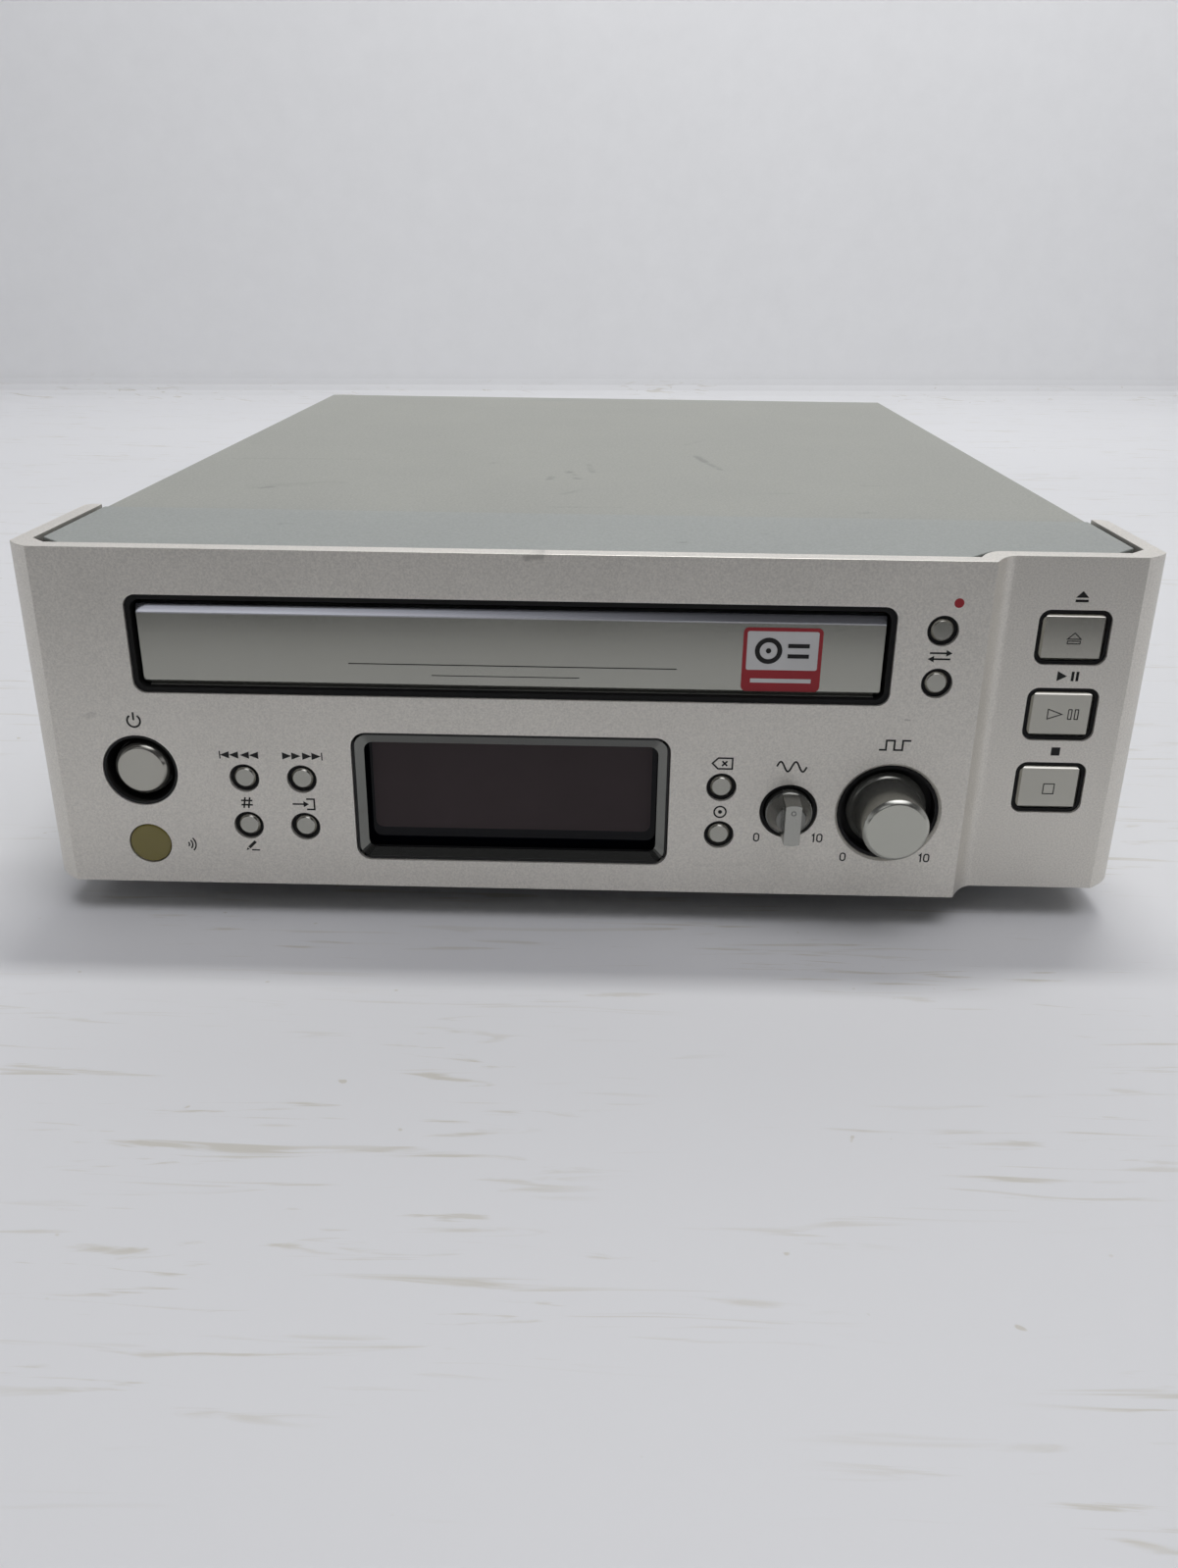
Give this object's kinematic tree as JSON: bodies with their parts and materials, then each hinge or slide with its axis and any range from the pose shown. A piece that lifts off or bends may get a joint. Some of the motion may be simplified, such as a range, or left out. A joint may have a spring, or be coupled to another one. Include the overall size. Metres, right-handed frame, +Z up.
{
  "type": "disc recorder",
  "caption": "Half-width disc recorder with a stepped silver front, sliding disc tray, display, push keys, two level knobs and a gear-driven loader.",
  "frame": {"origin": "on the floor under the middle of the bounding box", "axes": "+X to the right seen from the front, +Y to the back, +Z up"},
  "size_m": [0.215, 0.2874, 0.075],
  "materials": {
    "panel_silver": "fine blasted and anodised",
    "frame_black": "moulded, fine grain",
    "rail_grey": "satin paint",
    "cover_grey": "satin paint with rubbed marks",
    "chassis_zinc": "zinc plated",
    "foot_rubber": "matt",
    "screw_steel": "dark plated",
    "surround_grey": "satin moulded",
    "window_black": "polished, dark tint",
    "tube_glass": "clear glass over a dark grid",
    "board_tan": "paper board",
    "board_green": "solder mask",
    "part_black": "moulded",
    "ir_olive": "smoked, polished",
    "key_silver": "metallic paint",
    "knob_grey": "metallic paint",
    "knob_silver": "turned and anodised",
    "door_silver": "satin anodised",
    "tray_black": "moulded, fine grain",
    "bright_steel": "ground",
    "motor_can": "plated can",
    "gear_white": "natural acetal",
    "belt_rubber": "moulded",
    "pulley_brass": "turned",
    "coil_wire": "taped copper winding",
    "lens_blue": "coated lens",
    "socket_black": "moulded"
  },
  "bodies": {
    "case": {"front_panel": "panel_silver", "front_frame": "frame_black", "top_rail": "rail_grey", "top_cover": "cover_grey", "bottom_chassis": "chassis_zinc", "rear_panel": "cover_grey", "feet": "foot_rubber", "case_screws": "screw_steel", "display_surround": "surround_grey", "display_window": "window_black", "display_tube": "tube_glass", "key_board": "board_tan", "key_switches": "part_black", "ir_window": "ir_olive", "ir_receiver": "part_black", "level_controls": "part_black", "main_board": "board_green", "main_board_parts": "part_black", "power_board": "board_tan", "power_parts": "part_black", "transformer_core": "screw_steel", "transformer_coil": "coil_wire", "phono_jacks": "socket_black", "optical_sockets": "socket_black", "mains_inlet": "socket_black", "loader_frame": "part_black", "loader_brackets": "chassis_zinc", "clamp_bridge": "chassis_zinc", "loading_motor": "motor_can", "loading_belt": "belt_rubber"},
    "tray": {"disc_tray": "tray_black", "tray_door": "door_silver"},
    "clamper": {"clamper": "gear_white"},
    "motor_pulley": {"motor_pulley": "pulley_brass"},
    "pulley_gear": {"pulley_gear": "gear_white"},
    "tray_gear": {"tray_gear": "gear_white"},
    "traverse": {"traverse_base": "chassis_zinc", "guide_rods": "bright_steel", "traverse_motors": "motor_can"},
    "lift_slider": {"lift_slider": "gear_white"},
    "turntable": {"turntable": "part_black"},
    "pickup": {"pickup": "part_black", "pickup_lens": "lens_blue"},
    "sled_screw": {"sled_screw": "bright_steel"},
    "analog_knob": {"analog_knob": "knob_grey", "analog_shaft": "bright_steel"},
    "digital_knob": {"digital_knob": "knob_silver", "digital_shaft": "bright_steel"},
    "standby_key": {"standby_key": "key_silver"},
    "skip_back_key": {"skip_back_key": "key_silver"},
    "skip_forward_key": {"skip_forward_key": "key_silver"},
    "track_key": {"track_key": "key_silver"},
    "input_key": {"input_key": "key_silver"},
    "erase_key": {"erase_key": "key_silver"},
    "finalize_key": {"finalize_key": "key_silver"},
    "record_key": {"record_key": "key_silver"},
    "sync_key": {"sync_key": "key_silver"},
    "open_key": {"open_key": "key_silver"},
    "play_key": {"play_key": "key_silver"},
    "stop_key": {"stop_key": "key_silver"}
  },
  "joints": [
    {"name": "tray_slide", "type": "slide", "parent": "case", "child": "tray", "axis": [0, -1, 0], "range_m": [0, 0.13]},
    {"name": "tray_gear_turn", "type": "hinge", "parent": "case", "child": "tray_gear", "pos_m": [-0.06365, -0.09515, 0.05], "axis": [0, 0, 1], "range_deg": [0, 622.7]},
    {"name": "pulley_gear_turn", "type": "hinge", "parent": "case", "child": "pulley_gear", "pos_m": [-0.04465, -0.09515, 0.05], "axis": [0, 0, 1], "range_deg": [-1066.06, 0]},
    {"name": "motor_pulley_turn", "type": "hinge", "parent": "case", "child": "motor_pulley", "pos_m": [-0.00165, -0.09515, 0.047], "axis": [0, 0, 1], "range_deg": [-3346.2, 0]},
    {"name": "traverse_lift", "type": "slide", "parent": "case", "child": "traverse", "axis": [0, 0, 1], "range_m": [0, 0.0065]},
    {"name": "lift_slider_slide", "type": "slide", "parent": "case", "child": "lift_slider", "axis": [1, 0, 0], "range_m": [0, 0.013]},
    {"name": "turntable_spin", "type": "hinge", "parent": "traverse", "child": "turntable", "pos_m": [-0.0147, -0.0635, 0.05], "axis": [0, 0, 1], "continuous": true},
    {"name": "clamper_spin", "type": "hinge", "parent": "case", "child": "clamper", "pos_m": [-0.0147, -0.0635, 0.063], "axis": [0, 0, 1], "continuous": true},
    {"name": "pickup_slide", "type": "slide", "parent": "traverse", "child": "pickup", "axis": [0, 1, 0], "range_m": [0, 0.036]},
    {"name": "sled_screw_turn", "type": "hinge", "parent": "traverse", "child": "sled_screw", "pos_m": [0.0163, -0.01525, 0.0405], "axis": [0, 1, 0], "range_deg": [0, 4322]},
    {"name": "analog_knob_turn", "type": "hinge", "parent": "case", "child": "analog_knob", "pos_m": [0.0395, -0.13525, 0.0252], "axis": [0, 1, 0], "range_deg": [-150, 150]},
    {"name": "digital_knob_turn", "type": "hinge", "parent": "case", "child": "digital_knob", "pos_m": [0.0589, -0.13525, 0.0252], "axis": [0, 1, 0], "range_deg": [-150, 150]},
    {"name": "standby_press", "type": "slide", "parent": "case", "child": "standby_key", "axis": [0, 1, 0], "range_m": [0, 0.0008], "stiffness_N_per_m": 400, "springref_m": -0.0005},
    {"name": "skip_back_press", "type": "slide", "parent": "case", "child": "skip_back_key", "axis": [0, 1, 0], "range_m": [0, 0.0008], "stiffness_N_per_m": 400, "springref_m": -0.0005},
    {"name": "skip_forward_press", "type": "slide", "parent": "case", "child": "skip_forward_key", "axis": [0, 1, 0], "range_m": [0, 0.0008], "stiffness_N_per_m": 400, "springref_m": -0.0005},
    {"name": "track_press", "type": "slide", "parent": "case", "child": "track_key", "axis": [0, 1, 0], "range_m": [0, 0.0008], "stiffness_N_per_m": 400, "springref_m": -0.0005},
    {"name": "input_press", "type": "slide", "parent": "case", "child": "input_key", "axis": [0, 1, 0], "range_m": [0, 0.0008], "stiffness_N_per_m": 400, "springref_m": -0.0005},
    {"name": "erase_press", "type": "slide", "parent": "case", "child": "erase_key", "axis": [0, 1, 0], "range_m": [0, 0.0008], "stiffness_N_per_m": 400, "springref_m": -0.0005},
    {"name": "finalize_press", "type": "slide", "parent": "case", "child": "finalize_key", "axis": [0, 1, 0], "range_m": [0, 0.0008], "stiffness_N_per_m": 400, "springref_m": -0.0005},
    {"name": "record_press", "type": "slide", "parent": "case", "child": "record_key", "axis": [0, 1, 0], "range_m": [0, 0.0008], "stiffness_N_per_m": 400, "springref_m": -0.0005},
    {"name": "sync_press", "type": "slide", "parent": "case", "child": "sync_key", "axis": [0, 1, 0], "range_m": [0, 0.0008], "stiffness_N_per_m": 400, "springref_m": -0.0005},
    {"name": "open_press", "type": "slide", "parent": "case", "child": "open_key", "axis": [0, 1, 0], "range_m": [0, 0.0008], "stiffness_N_per_m": 400, "springref_m": -0.0005},
    {"name": "play_press", "type": "slide", "parent": "case", "child": "play_key", "axis": [0, 1, 0], "range_m": [0, 0.0008], "stiffness_N_per_m": 400, "springref_m": -0.0005},
    {"name": "stop_press", "type": "slide", "parent": "case", "child": "stop_key", "axis": [0, 1, 0], "range_m": [0, 0.0008], "stiffness_N_per_m": 400, "springref_m": -0.0005}
  ],
  "couplings": [
    {"joint": "tray_gear_turn", "follows": "tray_slide", "rad_per_m": 83.333},
    {"joint": "pulley_gear_turn", "follows": "tray_slide", "rad_per_m": -142.86},
    {"joint": "motor_pulley_turn", "follows": "tray_slide", "rad_per_m": -448.98},
    {"joint": "lift_slider_slide", "follows": "traverse_lift", "ratio": 2},
    {"joint": "sled_screw_turn", "follows": "pickup_slide", "rad_per_m": 2094.4}
  ]
}
